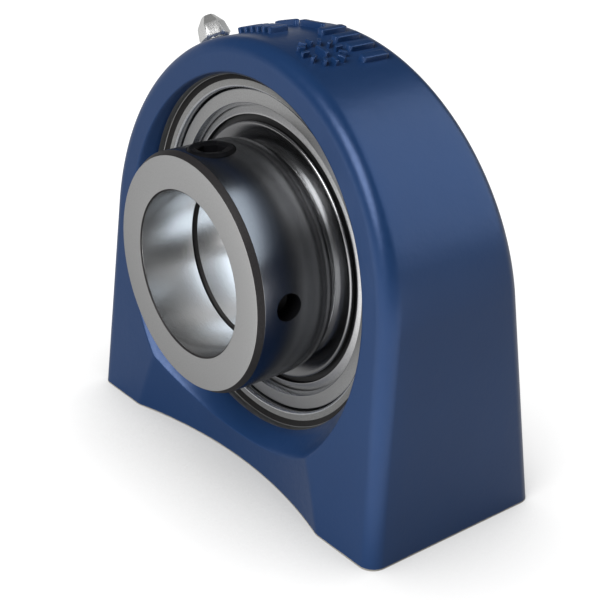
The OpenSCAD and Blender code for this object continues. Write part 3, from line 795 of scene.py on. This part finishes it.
# Locking collar. Turned steel with a blackened outside, a ground front face and a bright
# bore. It is turned by a pin spanner until its recess wedges on the ring's eccentric.
collar_face = turned_steel("collar_face", (0.40, 0.40, 0.40), 0.5, speckle=0.08)
# The chamfers are blackened like the outside, and painted darker still as shade.
collar_edge_black_and_shade = turned_steel("collar_edge_black_and_shade", (0.026, 0.024, 0.025), 0.5, metallic=0.0, speckle=0.25, index=1.24)
collar_black = turned_steel("collar_black", (0.20, 0.205, 0.215), 0.25, speckle=0.05, rings=1.5,
                            depth=0.0000004)
# Near black for the holes and for a crease near the rear: painted shade.
hollow_painted_shade = turned_steel("hollow_painted_shade", (0.006, 0.006, 0.007), 0.45, metallic=0.0, speckle=0.2, index=1.15)
waist_r, shoulder_front, shoulder_out, shoulder_deep = 24.4, 15.4, 1.15, 4.48
# The crease near the rear of the outside takes the painted shade of the holes.
collar = [(bore_r, 29.1, bore_steel, 0.05), (bore_r, 16.4, bore_steel, 0.05), (21.55, 16.4, bore_steel, 0),
          (21.55, 10.2, bore_steel, 0), (22.05, 9.7, collar_black, 0.05), (23.6, 9.7, collar_black, 0.2),
          (24.25, 10.35, collar_black, 0.25), (24.32, 10.72, hollow_painted_shade, 0.02), (24.16, 10.82, hollow_painted_shade, 0),
          (waist_r, 10.92, collar_black, 0)]
collar += [(waist_r + shoulder_out * math.sin(math.radians(a)),
            shoulder_front - shoulder_deep * math.cos(math.radians(a)), collar_black, 0)
           for a in range(10, 91, 8)]
# The front chamfers: blackened steel, painted darker as shade.
collar += [(25.55, 28.1, collar_edge_black_and_shade, 0.12), (24.7, 29.4, collar_face, 0.08), (17.8, 29.4, collar_edge_black_and_shade, 0.08)]
locking_collar = turned("eccentric_locking_collar", collar,
                        [collar_face, collar_edge_black_and_shade, collar_black, bore_steel, hollow_painted_shade],
                        cam=(9.6, 16.41, cam_lift))
screw_front = 22.4
up_the_screw = outward(0, screw_front)
# The drilled holes take the painted shade inside.
screw_drill = round_cutter("screw_drill", [(5.03, 15), (5.03, 27)], hollow_painted_shade, up_the_screw)
pin_drill = round_cutter("pin_drill", [(0, 19.45), (2.9, 21.05), (2.9, 27)], hollow_painted_shade,
                         outward(-90, screw_front))
cut(locking_collar, screw_drill, pin_drill)
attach(locking_collar, "collar")
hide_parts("locking_collar")


# Collar screw. A blackened M10 grub screw with a hexagon socket and a cup point, which holds
# the collar on the shaft once it is wedged.
def many_sided(name, sections, finish, placing, sides=96):
    """A solid up its own Z axis, from sections of (height, radius of a circle, radius of a
    hexagon), each as wide as both allow."""
    mesh = bmesh.new()
    rings = []
    for rise, circle, hexagon in sections:
        ring = []
        for i in range(sides):
            angle = 2 * math.pi * i / sides
            flat = (angle % (math.pi / 3)) - math.pi / 6
            radius = min(circle, hexagon * math.cos(math.pi / 6) / math.cos(flat))
            x, y = radius * math.cos(angle), radius * math.sin(angle)
            ring.append(mesh.verts.new((x * MM, y * MM, rise * MM)))
        rings.append(ring)
    for low, high in zip(rings, rings[1:]):
        for i in range(sides):
            n = (i + 1) % sides
            mesh.faces.new((low[i], low[n], high[n], high[i]))
    mesh.faces.new(rings[0])
    mesh.faces.new(rings[-1])
    bmesh.ops.recalc_face_normals(mesh, faces=mesh.faces)
    mesh.transform(placing)
    return make_piece(name, mesh, [finish], 28)


BIG = 99  # wider than anything, where only the other shape counts
screw_black = turned_steel("screw_black", (0.006, 0.006, 0.007), 0.38, metallic=0.0, speckle=0.2, rings=0.0,
                           index=1.13)
screw = many_sided("collar_grub_screw", [
    (18.8, 1.2, BIG), (17.82, 2.7, BIG), (17.8, 2.9, BIG), (17.8, 3.9, BIG), (18.7, 4.35, BIG),
    (24.6, 4.35, BIG), (24.75, 4.97, BIG), (25.2, 4.97, BIG), (25.72, 4.48, BIG), (25.8, 4.36, BIG),
    (25.8, 3.3, BIG), (25.5, 3.0, 3.0), (25.35, BIG, 2.89), (22, BIG, 2.89), (21.8, 2.45, 2.89),
    (21.3, 0.5, BIG)], screw_black, up_the_screw)
thread("collar_screw_thread", 4.3, 1.5, 3.7, screw_black,
       up_the_screw @ Matrix.Translation((0, 0, 18.9 * MM)), "collar_screw")
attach(screw, "collar_screw")
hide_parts("collar_screw")


# Grease nipple. A zinc-plated steel nipple, screwed into the crown, whose tapered hexagon
# serves for the spanner and the coupler. A sprung ball closes it.
zinc, tree, surface, place = new_finish("nipple_zinc", (0.84, 0.84, 0.83), 0.24, 0.8)
spangle = mottled(tree, place, 0.0016, (0.82, 0.82, 0.81), (0.87, 0.87, 0.86))
tree.links.new(spangle, surface.inputs["Base Color"])
rough_between(tree, surface, place, 0.0012, 0.22, 0.26)
relief(tree, surface, 0.000001, grain_of(tree, place, 1600))
seat, tip = 46.344, 53.344
nipple = many_sided("grease_nipple", [
    (39.8, 0.8, BIG), (39.8, 2.5, BIG), (46.1, 2.5, BIG), (46.15, 2.3, BIG), (seat + 1.2, 2.3, BIG),
    (seat + 1.32, 2.6, BIG), (seat + 1.5, 2.95, 3.3), (seat + 1.95, 3.35, 3.6), (seat + 2.2, BIG, 3.6),
    (seat + 4.8, BIG, 3.12), (seat + 5.0, BIG, 3.02), (seat + 6.78, BIG, 1.64), (seat + 6.93, BIG, 1.52),
    (tip, 1.3, BIG), (tip, 0.85, BIG), (tip - 0.1, 0.75, BIG), (tip - 0.7, 0.75, BIG),
    (tip - 1.2, 1.25, BIG), (40.4, 1.25, BIG), (40.4, 0.8, BIG)], zinc, up_the_nipple)
thread("grease_nipple_thread", 2.55, 1.0, 5.6, zinc,
       up_the_nipple @ Matrix.Translation((0, 0, 40.3 * MM)), "housing")
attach(nipple, "housing")
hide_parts("nipple_body")
for name in ("nipple_ball", "nipple_spring"):
    refinish(name, ball_steel)
